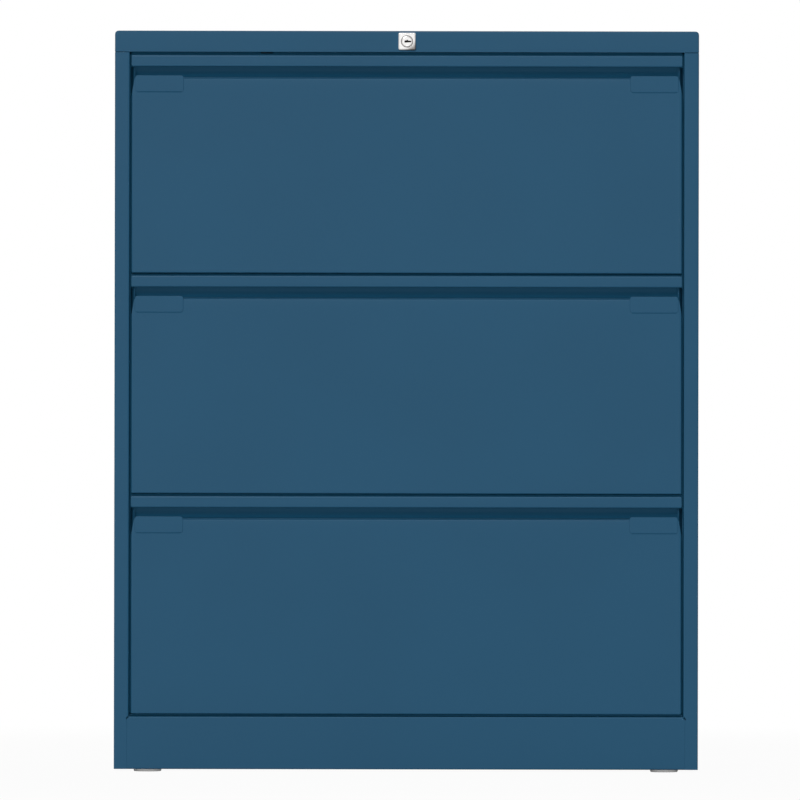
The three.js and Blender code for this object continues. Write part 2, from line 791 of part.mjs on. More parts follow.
// Drawer tray: rims, sides and beaded base in one fold, closed by a back wall and the inner front,
// which stands behind the gaps beside and over the drawer's face. The back wall's rim is notched
// clear of the side rims, and a thin web fills the corners below them.
function tray() {
  const core = TRAY_SHEET / 2;
  const wrap = alongY(
    foldedStrip(
      [
        [-TRAY_HALF + TRAY_RIM, TRAY_TOP],
        [-TRAY_HALF, TRAY_TOP],
        [-TRAY_HALF, TRAY_LIFT],
        [TRAY_HALF, TRAY_LIFT],
        [TRAY_HALF, TRAY_TOP],
        [TRAY_HALF - TRAY_RIM, TRAY_TOP],
      ],
      TRAY_SHEET,
      1,
    ),
    TRAY_FRONT + core,
    TRAY_BACK - core,
  );
  const notch = TRAY_HALF - TRAY_RIM - RIM_NOTCH;
  const rear = alongX(
    foldedStrip(
      [
        [TRAY_BACK, TRAY_LIFT + core],
        [TRAY_BACK, TRAY_TOP],
        [TRAY_BACK - TRAY_RIM, TRAY_TOP],
      ],
      TRAY_SHEET,
      1,
    ),
    -notch,
    notch,
  );
  const half = TRAY_HALF - core;
  const corner = BEND + core;
  const webView = outline([
    [-half, TRAY_LIFT + core, corner],
    [half, TRAY_LIFT + core, corner],
    [half, TRAY_TOP - core, corner],
    [notch - RIM_NOTCH, TRAY_TOP - core],
    [notch - RIM_NOTCH, TRAY_TOP - TRAY_RIM],
    [-notch + RIM_NOTCH, TRAY_TOP - TRAY_RIM],
    [-notch + RIM_NOTCH, TRAY_TOP - core],
    [-half, TRAY_TOP - core, corner],
  ]);
  const web = alongY(webView, TRAY_BACK - 1.5 * core, TRAY_BACK - 0.5 * core);
  const innerHalf = OPENING_HALF - GAP_CLEARANCE;
  const innerFront = box(
    -innerHalf,
    innerHalf,
    TRAY_FRONT,
    TRAY_FRONT + TRAY_SHEET,
    INNER_FRONT_MARGIN,
    FRONT_HEIGHT + FRONT_GAP - GAP_CLEARANCE,
  );
  const length = TRAY_BACK - TRAY_FRONT - 2 * TRAY_BEAD_MARGIN;
  const press = bead(TRAY_BEAD_WIDTH, length, TRAY_BEAD_HEIGHT, TRAY_SHEET);
  const middle = (TRAY_FRONT + TRAY_BACK) / 2;
  const places = fields(TRAY_BEADS, 2 * TRAY_HALF);
  const lay = (form, x) => form.clone().translate(x, middle, TRAY_LIFT + TRAY_SHEET);
  const proud = places.map((x) => lay(press.proud, x));
  const hollows = places.map((x) => lay(press.hollow, x));
  return cut(joined(wrap, rear, web, innerFront, ...proud), ...hollows);
}

// Angle rail across the tray; facing 1 stands at the front, -1 at the rear.
function fileRail(facing) {
  const wall = facing > 0 ? TRAY_FRONT + TRAY_SHEET : TRAY_BACK - TRAY_SHEET;
  const web = wall + facing * FILE_RAIL_SETBACK;
  const half = TRAY_HALF - TRAY_SHEET - SEAT;
  const profile = foldedStrip(
    [
      [web + facing * FILE_RAIL_FOOT, TRAY_TOP],
      [web, TRAY_TOP],
      [web, TRAY_TOP + FILE_RAIL_HEIGHT],
    ],
    RAIL_SHEET,
    -facing,
  );
  return alongX(profile, -half, half);
}

// Catch on the drawer side that the lock bar stands in front of.
function lockCatch() {
  const front = BAR_BACK + LUG_GAP;
  const profile = foldedStrip(
    [
      [TRAY_HALF, front + CATCH_FOOT],
      [TRAY_HALF, front],
      [UPRIGHT_X - LUG_MARGIN, front],
    ],
    LOCK_SHEET,
    1,
  );
  return mirrored(alongZ(profile, LUG_RISE, LUG_RISE + LUG_HEIGHT));
}

// Square lock face with a round body through the top rail and a nut behind it.
function lockHousing() {
  const half = LOCK_PLATE / 2 - LOCK_EDGE;
  const corner = LOCK_CORNER - LOCK_EDGE;
  const face = outline([
    [-half, LOCK_Z - half, corner],
    [half, LOCK_Z - half, corner],
    [half, LOCK_Z + half, corner],
    [-half, LOCK_Z + half, corner],
  ]);
  const block = new THREE.ExtrudeGeometry(face, {
    depth: LOCK_PROUD,
    bevelSize: LOCK_EDGE,
    bevelThickness: LOCK_EDGE,
    bevelSegments: FOLD_STEPS,
  });
  block.rotateX(Math.PI / 2).translate(0, FRONT_Y + LOCK_EDGE, 0);
  const reach = LOCK_PLATE;
  const behind = box(-reach, reach, FRONT_Y, FRONT_Y + reach, LOCK_Z - reach, LOCK_Z + reach);
  const bodyEnd = FRONT_Y + LOCK_BODY_LENGTH;
  const body = barAlongY(0, LOCK_Z, LOCK_BODY_RADIUS, FRONT_Y - LOCK_PROUD / 2, bodyEnd, ROUND_STEPS);
  const bore = barAlongY(
    0,
    LOCK_Z,
    BARREL_RADIUS + SEAT,
    FRONT_Y - 2 * LOCK_PROUD,
    bodyEnd + OVERCUT,
    ROUND_STEPS,
  );
  const nut = new THREE.CylinderGeometry(LOCK_NUT_RADIUS, LOCK_NUT_RADIUS, LOCK_NUT_LENGTH, 6);
  const nutMiddle = FRONT_Y + CARCASE_SHEET + SEAT + LOCK_NUT_LENGTH / 2;
  nut.rotateY(Math.PI / 6).translate(0, nutMiddle, LOCK_Z);
  return cut(joined(cut(block, behind), body, nut), bore);
}

function tailShape(half) {
  return outline([
    [-half, LOCK_Z - half],
    [half, LOCK_Z - half],
    [half, LOCK_Z + half],
    [-half, LOCK_Z + half],
  ]);
}

function lockBarrel() {
  const front = FRONT_Y - LOCK_PROUD + BARREL_RECESS;
  const barrel = barAlongY(0, LOCK_Z, BARREL_RADIUS, front, CAM_FRONT, ROUND_STEPS);
  const tail = alongY(tailShape(BARREL_TAIL / 2), CAM_FRONT - OVERCUT, CAM_BACK);
  const keyway = box(
    -KEYWAY_LENGTH / 2,
    KEYWAY_LENGTH / 2,
    front - OVERCUT,
    front + KEYWAY_DEPTH,
    LOCK_Z - KEYWAY_WIDTH / 2,
    LOCK_Z + KEYWAY_WIDTH / 2,
  );
  return cut(joined(barrel, tail), keyway);
}

// Arm on the barrel tail with the pin that drives the link.
function lockCam() {
  const pinZ = LOCK_Z - PIN_SWING;
  const plate = leverArm(0, LOCK_Z, HUB_RADIUS, PIN_SWING, pinZ, EYE_RADIUS);
  const pin = barAlongY(PIN_SWING, pinZ, PIN_RADIUS, CAM_FRONT, LINK_BACK + SEAT, PIN_STEPS);
  const hole = alongY(tailShape(BARREL_TAIL / 2 + SEAT), CAM_FRONT - OVERCUT, CAM_BACK + OVERCUT);
  return cut(joined(alongY(plate, CAM_FRONT, CAM_BACK), pin), hole);
}

// Bar under the top from the cam to the bell crank, with an upright slot for each pin.
function lockLink() {
  const places = [-PIN_SWING, PIVOT_X - PIN_SWING];
  const reach = SLOT_HALF + LINK_WALL;
  const blank = outline([
    [places[0] - reach, LINK_FOOT, LINK_WALL],
    [places[1] + reach, LINK_FOOT, LINK_WALL],
    [places[1] + reach, LINK_TOP, LINK_WALL],
    [places[0] - reach, LINK_TOP, LINK_WALL],
  ]);
  const slots = places.map((x) => {
    const slot = outline([
      [x - SLOT_HALF, LINK_FOOT + LINK_WALL, PIN_RADIUS],
      [x + SLOT_HALF, LINK_FOOT + LINK_WALL, PIN_RADIUS],
      [x + SLOT_HALF, LINK_TOP - LINK_TOP_WALL, PIN_RADIUS],
      [x - SLOT_HALF, LINK_TOP - LINK_TOP_WALL, PIN_RADIUS],
    ]);
    return alongY(slot, LINK_FRONT - OVERCUT, LINK_BACK + OVERCUT);
  });
  return mirrored(cut(alongY(blank, LINK_FRONT, LINK_BACK), ...slots));
}

// Hook under the top that carries the link halfway along.
function lockLinkGuide() {
  const profile = foldedStrip(
    [
      [LINK_BACK + RUN + BRACKET_FOOT, UNDER_CAP - GUIDE_SHEET],
      [LINK_BACK + RUN, UNDER_CAP - GUIDE_SHEET, TIGHT_BEND],
      [LINK_BACK + RUN, LINK_FOOT - RUN, TIGHT_BEND],
      [LINK_FRONT - RUN, LINK_FOOT - RUN, TIGHT_BEND],
      [LINK_FRONT - RUN, LINK_FOOT - RUN + LINK_GUIDE_LIP],
    ],
    GUIDE_SHEET,
    1,
  );
  const middle = -PIVOT_X / 2;
  return alongX(profile, middle - LINK_GUIDE_WIDTH / 2, middle + LINK_GUIDE_WIDTH / 2);
}

// Bell crank that turns the push of the link into the lift of the lock bar.
function lockCrank() {
  const pinZ = LOCK_Z - PIN_SWING;
  const linkX = PIVOT_X - PIN_SWING;
  const barX = PIVOT_X + PIN_SWING;
  const arms = [linkX, barX].map((x) => {
    const arm = leverArm(PIVOT_X, LOCK_Z, EYE_RADIUS, x, pinZ, EYE_RADIUS);
    return alongY(arm, CAM_FRONT, CAM_BACK);
  });
  const hub = barAlongY(PIVOT_X, LOCK_Z, HUB_RADIUS, CAM_FRONT, CAM_BACK, ROUND_STEPS);
  const linkPin = barAlongY(linkX, pinZ, PIN_RADIUS, CAM_FRONT, LINK_BACK + SEAT, PIN_STEPS);
  const barPin = barAlongY(barX, pinZ, PIN_RADIUS, CAM_FRONT, BAR_BACK + SEAT, PIN_STEPS);
  const hole = barAlongY(
    PIVOT_X,
    LOCK_Z,
    PIN_RADIUS + SEAT,
    CAM_FRONT - OVERCUT,
    CAM_BACK + OVERCUT,
    PIN_STEPS,
  );
  return mirrored(cut(joined(hub, ...arms, linkPin, barPin), hole));
}

// Hanger under the top with the pin that the bell crank turns on.
function crankBracket() {
  const front = BAR_BACK + LAYER_GAP;
  const hanger = foldedStrip(
    [
      [front + BRACKET_FOOT, UNDER_CAP],
      [front, UNDER_CAP],
      [front, LOCK_Z - BRACKET_HALF],
    ],
    UPRIGHT_SHEET,
    1,
  );
  const headBack = CAM_FRONT - RUN;
  const pin = barAlongY(PIVOT_X, LOCK_Z, PIN_RADIUS, headBack - OVERCUT, front + OVERCUT, PIN_STEPS);
  const head = barAlongY(PIVOT_X, LOCK_Z, PIN_HEAD, headBack - OVERCUT, headBack, PIN_STEPS);
  return mirrored(joined(alongX(hanger, PIVOT_X - BRACKET_HALF, PIVOT_X + BRACKET_HALF), pin, head));
}

// Lock bar behind the left stile: a strip with a finger for each drawer and a fork for the crank.
function lockBar() {
  const forkZ = LOCK_Z - PIN_SWING;
  const tips = PIVOT_X + PIN_RADIUS + FORK_CLEARANCE;
  const slotEnd = BAR_OUTSIDE - BAR_WALL;
  const forkHalf = SLOT_HALF + FORK_WALL;
  const fork = outline([
    [tips, forkZ - FORK_NECK, BEND],
    [BAR_OUTSIDE, forkZ - FORK_NECK],
    [BAR_OUTSIDE, forkZ + forkHalf, BEND],
    [tips, forkZ + forkHalf, BEND],
    [tips, forkZ + SLOT_HALF],
    [slotEnd, forkZ + SLOT_HALF, PIN_RADIUS],
    [slotEnd, forkZ - SLOT_HALF, PIN_RADIUS],
    [tips, forkZ - SLOT_HALF],
  ]);
  const strip = box(
    BAR_OUTSIDE - LOCK_SHEET,
    BAR_OUTSIDE,
    BAR_FRONT,
    BAR_FRONT + BAR_WIDTH,
    frontFoot(DRAWERS) + BAR_FOOT,
    forkZ - FORK_NECK / 2,
  );
  const fingers = [];
  for (let drawer = 1; drawer <= DRAWERS; drawer += 1) {
    const top = frontFoot(drawer) + LUG_RISE - FINGER_DROP;
    const finger = outline([
      [TRAY_HALF + FINGER_CLEARANCE, top - FINGER_HEIGHT, BEND],
      [BAR_OUTSIDE, top - FINGER_HEIGHT],
      [BAR_OUTSIDE, top],
      [TRAY_HALF + FINGER_CLEARANCE, top, BEND],
    ]);
    fingers.push(alongY(finger, BAR_FRONT, BAR_BACK));
  }
  return mirrored(joined(strip, alongY(fork, BAR_FRONT, BAR_BACK), ...fingers));
}

// Bridge on the side wall that the lock bar slides through.
function lockBarGuide(z) {
  const bridge = BAR_OUTSIDE - LOCK_SHEET - RUN;
  const front = BAR_FRONT - RUN;
  const back = BAR_FRONT + BAR_WIDTH + RUN;
  const profile = foldedStrip(
    [
      [INSIDE_HALF, front - GUIDE_FOOT],
      [INSIDE_HALF, front, RUN],
      [bridge, front, RUN],
      [bridge, back, RUN],
      [INSIDE_HALF, back, RUN],
      [INSIDE_HALF, back + GUIDE_FOOT],
    ],
    GUIDE_SHEET,
    1,
  );
  return mirrored(alongZ(profile, z - GUIDE_HEIGHT / 2, z + GUIDE_HEIGHT / 2));
}

// Finishes: sRGB colour, roughness and metalness.
const FINISHES = {
  paint: [0x315670, 0.5, 0],
  zinc: [0xb9bdc0, 0.38, 1],
  nickel: [0xdedcd8, 0.2, 1],
  plastic: [0x1d1f21, 0.6, 0],
};

const cabinet = new THREE.Group();
cabinet.name = 'lateral_filing_cabinet';

function add(name, geometry, finish, z = 0) {
  const [color, roughness, metalness] = FINISHES[finish];
  const mesh = new THREE.Mesh(geometry, new THREE.MeshStandardMaterial({ color, roughness, metalness }));
  mesh.name = name;
  mesh.position.z = z;
  cabinet.add(mesh);
}

function addPair(name, geometry, finish, z = 0) {
  add(`${name}_right`, geometry, finish, z);
  add(`${name}_left`, mirrored(geometry), finish, z);
}

addPair('side_panel', sidePanel(), 'paint');
add('top_cap', topCap(), 'paint');
add('back_panel', backPanel(), 'paint');
add('base_panel', basePanel(), 'paint');
add('plinth', plinth(), 'paint');
addPair('upright_front', upright(FRONT_Y + UPRIGHT_SETBACK), 'paint');
addPair('upright_rear', upright(BACK_Y - UPRIGHT_SETBACK - UPRIGHT_WIDTH), 'paint');
footPlaces().forEach(([place, x, y]) => add(`foot_${place}`, levellingFoot(x, y), 'plastic'));

add('lock_housing', lockHousing(), 'nickel');
add('lock_barrel', lockBarrel(), 'nickel');
add('lock_cam', lockCam(), 'zinc');
add('lock_link', lockLink(), 'zinc');
add('lock_link_guide', lockLinkGuide(), 'zinc');
add('lock_crank', lockCrank(), 'zinc');
add('lock_crank_bracket', crankBracket(), 'zinc');
add('lock_bar', lockBar(), 'zinc');
add('lock_bar_guide_upper', lockBarGuide(frontFoot(1) + GUIDE_RISE_UPPER), 'zinc');
add('lock_bar_guide_lower', lockBarGuide(frontFoot(DRAWERS) + GUIDE_RISE_LOWER), 'zinc');

for (let drawer = 1; drawer <= DRAWERS; drawer += 1) {
  const z = frontFoot(drawer);
  const name = `drawer_${drawer}`;
  add(`${name}_front_panel`, frontPanel(), 'paint', z);
  add(`${name}_grip_rail`, gripRail(), 'paint', z);
  add(`${name}_tray`, tray(), 'paint', z);
  add(`${name}_file_rail_front`, fileRail(1), 'zinc', z);
  add(`${name}_file_rail_rear`, fileRail(-1), 'zinc', z);
  add(`${name}_lock_catch`, lockCatch(), 'zinc', z);
  addPair(`${name}_runner_outer`, runnerOuter(), 'zinc', z);
  addPair(`${name}_runner_middle`, runnerMiddle(), 'zinc', z);
  addPair(`${name}_runner_inner`, runnerInner(), 'zinc', z);
}

export default cabinet;
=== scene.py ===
# %% [markdown]
# # Dressing a steel filing cabinet
#
# The cabinet's sheet-metal pieces arrive from CAD at their real size, in metres, with the floor at z = 0 and the
# drawer fronts facing -Y. This lesson gives them paint, plating and soft edges, models the small pieces that are
# easier to shape by hand, and puts the whole in a bright studio. The CAD pieces themselves stay where they are.

# %% Load the CAD pieces
import json
import math

import bmesh
import bpy
from mathutils import Matrix, Vector


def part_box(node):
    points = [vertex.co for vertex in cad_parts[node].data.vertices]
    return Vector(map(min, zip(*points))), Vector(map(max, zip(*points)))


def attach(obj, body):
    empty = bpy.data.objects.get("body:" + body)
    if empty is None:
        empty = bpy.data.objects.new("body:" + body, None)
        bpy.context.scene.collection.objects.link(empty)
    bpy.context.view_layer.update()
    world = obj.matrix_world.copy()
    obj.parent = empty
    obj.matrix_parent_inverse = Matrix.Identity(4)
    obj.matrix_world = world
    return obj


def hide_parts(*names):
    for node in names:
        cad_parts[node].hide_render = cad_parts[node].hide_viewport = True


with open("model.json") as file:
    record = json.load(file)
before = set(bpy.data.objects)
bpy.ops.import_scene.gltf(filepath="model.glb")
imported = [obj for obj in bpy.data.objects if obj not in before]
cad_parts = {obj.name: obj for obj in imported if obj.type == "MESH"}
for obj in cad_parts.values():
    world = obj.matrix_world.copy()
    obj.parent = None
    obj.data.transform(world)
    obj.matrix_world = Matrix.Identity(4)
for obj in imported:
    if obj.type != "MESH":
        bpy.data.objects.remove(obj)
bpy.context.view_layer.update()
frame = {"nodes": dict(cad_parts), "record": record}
nodes = frame["nodes"]
finish_of = {part["node"]: part["material_slot"] for part in frame["record"]["subparts"]}
scene = bpy.context.scene

# %% [markdown]
# ## The camera
#
# The cabinet is seen straight from the front, so that neither its sides nor its top show. A long lens far away keeps
# the uprights parallel. One pixel of the 800-pixel picture covers about 1.37 mm of the front, which gives the focal
# length, and the middle of the picture lies a little to the left of the cabinet's middle, half-way up.

# %% Place the camera
PICTURE = 800
METRES_PER_PIXEL = 0.0013695
FRONT_Y = -0.235
DISTANCE = 14.0

lens = bpy.data.cameras.new("front_camera")
lens.sensor_width = 36.0
lens.lens = lens.sensor_width * DISTANCE / (PICTURE * METRES_PER_PIXEL)
camera = bpy.data.objects.new("front_camera", lens)
camera.location = (-0.0088, FRONT_Y - DISTANCE, 0.5106)
camera.rotation_euler = (math.pi / 2, -0.0018, 0.0)
scene.collection.objects.link(camera)
scene.camera = camera
print("camera with a lens of", round(lens.lens, 1), "mm")

# %% [markdown]
# ## Writing node graphs as sums
#
# A finish is easier to read as a formula than as boxes and wires. The class below wraps one socket of a node graph:
# adding, multiplying or comparing two of them adds the Math node that does it, and `node` adds any other kind.

# %% A socket that can be calculated with
class Wire:
    def __init__(self, tree, socket=None):
        self.tree = tree
        self.socket = socket

    def node(self, kind, settings=None, inputs=None, output=0):
        made = self.tree.nodes.new(kind)
        for name, value in (settings or {}).items():
            if name == "stops":
                for stop, (place, colour) in zip(made.color_ramp.elements, value):
                    stop.position = place
                    stop.color = colour
            else:
                setattr(made, name, value)
        for name, value in (inputs or {}).items():
            if isinstance(value, Wire):
                self.tree.links.new(value.socket, made.inputs[name])
            else:
                made.inputs[name].default_value = value
        return Wire(self.tree, made.outputs[output] if made.outputs else None)

    def math(self, operation, *values):
        return self.node("ShaderNodeMath", {"operation": operation}, dict(enumerate(values)))

    def __add__(self, other):
        return self.math("ADD", self, other)

    def __sub__(self, other):
        return self.math("SUBTRACT", self, other)

    def __rsub__(self, other):
        return self.math("SUBTRACT", other, self)

    def __mul__(self, other):
        return self.math("MULTIPLY", self, other)

    def __abs__(self):
        return self.math("ABSOLUTE", self)

    def __lt__(self, other):
        return self.math("LESS_THAN", self, other)

    def __gt__(self, other):
        return self.math("GREATER_THAN", self, other)

    __radd__ = __add__
    __rmul__ = __mul__

    def step(self, low, high):
        inputs = {"Value": self, "From Min": low, "From Max": high}
        return self.node("ShaderNodeMapRange", {"interpolation_type": "SMOOTHSTEP"}, inputs)

    def mix(self, first, second):
        return self.node("ShaderNodeMix", {"data_type": "RGBA"}, {0: self, 6: first, 7: second}, output=2)

    def noise(self, scale, detail=2.0, roughness=0.5):
        inputs = {"Vector": self, "Scale": scale, "Detail": detail, "Roughness": roughness}
        return self.node("ShaderNodeTexNoise", None, inputs)

    def stretched(self, x, y, z):
        return self.node("ShaderNodeMapping", None, {"Vector": self, "Scale": (x, y, z)})

    def split(self):
        parts = self.node("ShaderNodeSeparateXYZ", None, {"Vector": self}).socket.node.outputs
        return [Wire(self.tree, part) for part in parts]


print("sums on sockets are ready")

# %% [markdown]
# ## The studio
#
# The picture's background is plain white, and the paint is lit so evenly from the front that even the narrow gaps
# round the drawers keep some colour. So the world is white for the camera and behind the cabinet, and only a dim room
# in front of it. Polished metal would look black in a dim room, so for mirrored rays the front is a bright tent that
# is strongest at the upper left. The floor is pale, keeps a faint shadow near the cabinet and melts into the white
# further away.

# %% World
ROOM = 0.04
TENT_LOW = 0.20
TENT_HIGH = 0.9
TENT_FACING = 1.0

world = bpy.data.worlds.new("studio")
scene.world = world
world.use_nodes = True
world.node_tree.nodes.clear()
sky = Wire(world.node_tree)
across, depth, height = sky.node("ShaderNodeTexCoord").split()
paths = sky.node("ShaderNodeLightPath").socket.node.outputs
camera_ray, glossy_ray, clear_ray = [
    Wire(world.node_tree, paths[name]) for name in ("Is Camera Ray", "Is Glossy Ray", "Is Transmission Ray")
]
lit = (height * 0.6 - across * 0.35).step(-0.75, 0.75)
facing = (0.0 - depth).step(0.980, 0.992)
tent = lit * (TENT_HIGH - TENT_LOW) + TENT_LOW
tent = tent + facing * (TENT_FACING - tent)
front = (glossy_ray + clear_ray) * (tent - ROOM) + ROOM
behind = depth.step(-0.3, 0.05)
white = behind.math("MAXIMUM", behind, camera_ray)
strength = front + white * (1.0 - front)
shine = sky.node("ShaderNodeBackground", None, {"Color": (1, 1, 1, 1), "Strength": strength})
sky.node("ShaderNodeOutputWorld", None, {"Surface": shine})
print("world with", len(world.node_tree.nodes), "nodes")

# %% Floor
FLOOR_WHITE = 0.96

bpy.ops.object.select_all(action="DESELECT")
bpy.ops.mesh.primitive_plane_add(size=40.0, location=(0.0, 0.0, 0.0))
floor = bpy.context.object
floor.name = "floor"
pale = bpy.data.materials.new("pale_floor")
pale.use_nodes = True
pale.node_tree.nodes.clear()
ground = Wire(pale.node_tree)
path = ground.node("ShaderNodeLightPath").socket.node
seen, mirrored = [Wire(pale.node_tree, path.outputs[name]) for name in ("Is Camera Ray", "Is Glossy Ray")]
across, along, _ = ground.node("ShaderNodeTexCoord", None, None, output=3).split()
far = (across * across + along * along).step(0.6, 4.0)
matt = ground.node("ShaderNodeBsdfDiffuse", None, {"Color": (0.34, 0.34, 0.34, 1)})
glow = ground.node("ShaderNodeEmission", None, {"Color": (1, 1, 1, 1), "Strength": 1.0})
whiteness = seen * (far * (1.0 - FLOOR_WHITE) + FLOOR_WHITE) + mirrored * 0.5
surface = ground.node("ShaderNodeMixShader", None, {0: whiteness, 1: matt, 2: glow})
ground.node("ShaderNodeOutputMaterial", None, {"Surface": surface})
floor.data.materials.append(pale)
print("floor laid")

# %% Lamps
def aimed_lamp(name, kind, place, settings):
    light = bpy.data.lights.new(name, kind)
    for key, value in settings.items():
        setattr(light, key, value)
    lamp = bpy.data.objects.new(name, light)
    lamp.location = place
    aim = Vector((0.0, FRONT_Y, 0.5)) - lamp.location
    lamp.rotation_euler = aim.to_track_quat("-Z", "Y").to_euler()
    scene.collection.objects.link(lamp)
    return lamp


fill = aimed_lamp("front_softbox", "AREA", (-0.0088, -15.0, 0.51), {"size": 0.8, "energy": 845.0})
fill.visible_glossy = False
fill.visible_camera = False
key = aimed_lamp("soft_key", "SUN", (-0.9, -4.2, 2.395), {"angle": math.radians(20), "energy": 1.40})
scene.view_settings.view_transform = "Standard"
print("lamps:", fill.name, "and", key.name)

# %% [markdown]
# ## Powder coat
#
# The steel is powder-coated in a slate blue. Baked powder is never quite flat: it sets with a fine orange-peel skin
# about a millimetre across, its gloss varies a little, and its colour drifts by a percent or two over a panel. Each
# of these is one noise at its own scale, read from the piece's own coordinates. Down the rear edges of the carcase the
# paint also shows a row of shallow round dents, where the spot welder pinched the sides to the back.

# %% Paint
WELD_X = 0.3925
WELD_STEP = 0.08
WELD_Y = 0.2345


def new_finish(name):
    material = bpy.data.materials.new(name)
    material.use_nodes = True
    material.node_tree.nodes.clear()
    start = Wire(material.node_tree)
    place = start.node("ShaderNodeTexCoord", None, None, output=3)
    return material, start, place


def close_finish(start, values):
    shader = start.node("ShaderNodeBsdfPrincipled", None, values)
    start.node("ShaderNodeOutputMaterial", None, {"Surface": shader})


def weld_marks(place):
    across, depth, height = place.split()
    beside = abs(abs(across) - WELD_X)
    above = abs(height.math("WRAP", height, WELD_STEP, 0.0) - WELD_STEP / 2)
    from_weld = (beside * beside + above * above).math("SQRT", beside * beside + above * above)
    return (1 - from_weld.step(0.0018, 0.0034)) * (depth > WELD_Y)


def powder_coat(name, deep, light, gloss, peel, welds=False):
    material, start, place = new_finish(name)
    drift = place.noise(5.0, 3.0).step(0.3, 0.7)
    grain = place.noise(2400.0, 1.0)
    skin = place.noise(620.0, 1.5, 0.6)
    bump = start.node("ShaderNodeBump", None, {"Strength": peel, "Distance": 0.00006, "Height": skin})
    if welds:
        dent = 1 - weld_marks(place)
        bump = start.node("ShaderNodeBump", None, {"Strength": 0.8, "Distance": 0.0003, "Height": dent, "Normal": bump})
    close_finish(start, {
        "Base Color": drift.mix(deep, light),
        "Roughness": grain * 0.08 + drift * 0.03 + (gloss - 0.055),
        "Normal": bump,
        "Specular IOR Level": 0.275,
    })
    return material


SLATE_DEEP = (0.0088, 0.0695, 0.1375, 1)
SLATE_LIGHT = (0.0094, 0.0725, 0.1430, 1)
finishes = {
    "carcase_paint": powder_coat("carcase_powder_coat", SLATE_DEEP, SLATE_LIGHT, 0.46, 0.35, welds=True),
    "front_paint": powder_coat("front_powder_coat", SLATE_DEEP, SLATE_LIGHT, 0.44, 0.35),
    "inner_paint": powder_coat("inner_powder_coat", SLATE_DEEP, SLATE_LIGHT, 0.52, 0.5),
}
print("paints:", ", ".join(finishes))

# %% [markdown]
# ## Zinc, nickel and nylon
#
# Runners and lock parts are zinc-plated strip. Rolling leaves fine lines along the strip, and the plating has pale
# and dark clouds, so the colour, the gloss and the lines are three noises. The lock is polished nickel with hairline
# marks from wiping. Its foot and lower right corner are painted darker and duller: painted shade standing in for the
# darker reflection the plate shows there. The feet are black nylon with a fine moulded grain, on a pale sole that
# glides over the floor.

# %% Zinc plate
def zinc_plate(name, along):
    material, start, place = new_finish(name)
    lines = place.stretched(*[12.0 if axis == along else 900.0 for axis in "xyz"]).noise(1.0, 2.0)
    clouds = place.noise(38.0, 4.0, 0.6).step(0.3, 0.72)
    bump = start.node("ShaderNodeBump", None, {"Strength": 0.25, "Distance": 0.00004, "Height": lines})
    close_finish(start, {
        "Base Color": clouds.mix((0.42, 0.45, 0.48, 1), (0.56, 0.57, 0.57, 1)),
        "Metallic": 1.0,
        "Roughness": lines * 0.16 + clouds * 0.1 + 0.22,
        "Normal": bump,
    })
    return material


finishes["runner_zinc"] = zinc_plate("rolled_zinc", "y")
finishes["zinc"] = zinc_plate("bright_zinc", "x")
print("zinc finishes ready")

# %% Nickel and nylon
lock_low, lock_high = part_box("lock_housing")
LOCK_HEIGHT = (lock_low[2] + lock_high[2]) / 2


def polished_nickel(name):
    material, start, place = new_finish(name)
    hairs = place.stretched(260.0, 900.0, 4200.0).noise(1.0, 2.0)
    cloud = place.noise(90.0, 2.0)
    across, _, height = place.split()
    low_right = across * 0.8 - (height - LOCK_HEIGHT)
    # painted shade: darkens and dulls the foot and lower right corner, standing in for the darker reflection there
    painted_dark_reflection = (low_right + cloud * 0.006).step(0.0085, 0.0205) + (LOCK_HEIGHT - height).step(0.0090, 0.0122) * 0.5
    bright = cloud.mix((0.90, 0.89, 0.875, 1), (0.95, 0.94, 0.93, 1))
    bump = start.node("ShaderNodeBump", None, {"Strength": 0.06, "Distance": 0.00002, "Height": hairs})
    close_finish(start, {
        "Base Color": (painted_dark_reflection * 0.85).mix(bright, (0.15, 0.135, 0.125, 1)),
        "Metallic": 1.0,
        "Roughness": hairs * 0.1 + painted_dark_reflection * 0.12 + 0.1,
        "Normal": bump,
    })
    return material


SOLE = 0.0048


def black_nylon(name):
    material, start, place = new_finish(name)
    grain = place.noise(1500.0, 2.0)
    tone = place.noise(40.0, 2.0)
    height = place.split()[2]
    sole = (height < SOLE) * (tone * 0.1 + 0.9)
    bump = start.node("ShaderNodeBump", None, {"Strength": 0.4, "Distance": 0.00008, "Height": grain})
    black = tone.mix((0.011, 0.012, 0.013, 1), (0.017, 0.018, 0.02, 1))
    close_finish(start, {
        "Base Color": sole.mix(black, (0.9, 0.9, 0.89, 1)),
        "Roughness": grain * 0.15 + 0.45,
        "Normal": bump,
    })
    return material


finishes["nickel"] = polished_nickel("polished_nickel")
finishes["foot_plastic"] = black_nylon("black_nylon")
print("finishes:", ", ".join(sorted(finishes)))

# %% [markdown]
# ## Soft edges on the CAD pieces
#
# Folded and sheared steel has small round edges that catch a line of light, and paint rounds them further. The CAD
# meshes are left alone; a stack of live modifiers welds their triangles, rounds the sharp edges by a fraction of a
# millimetre and evens out the shading of the bends. The lock face is rounder than the sheet parts. The plinth stays
# almost sharp, so that its welded seam with the stiles doesn't show.

# %% Finish the CAD pieces
EDGE = {"carcase_paint": 0.00035, "front_paint": 0.00035, "inner_paint": 0.0002, "runner_zinc": 0.00018,
        "zinc": 0.00025, "nickel": 0.0003, "foot_plastic": 0.0006}
OWN_EDGE = {"lock_housing": 0.0008, "plinth": 0.00006}

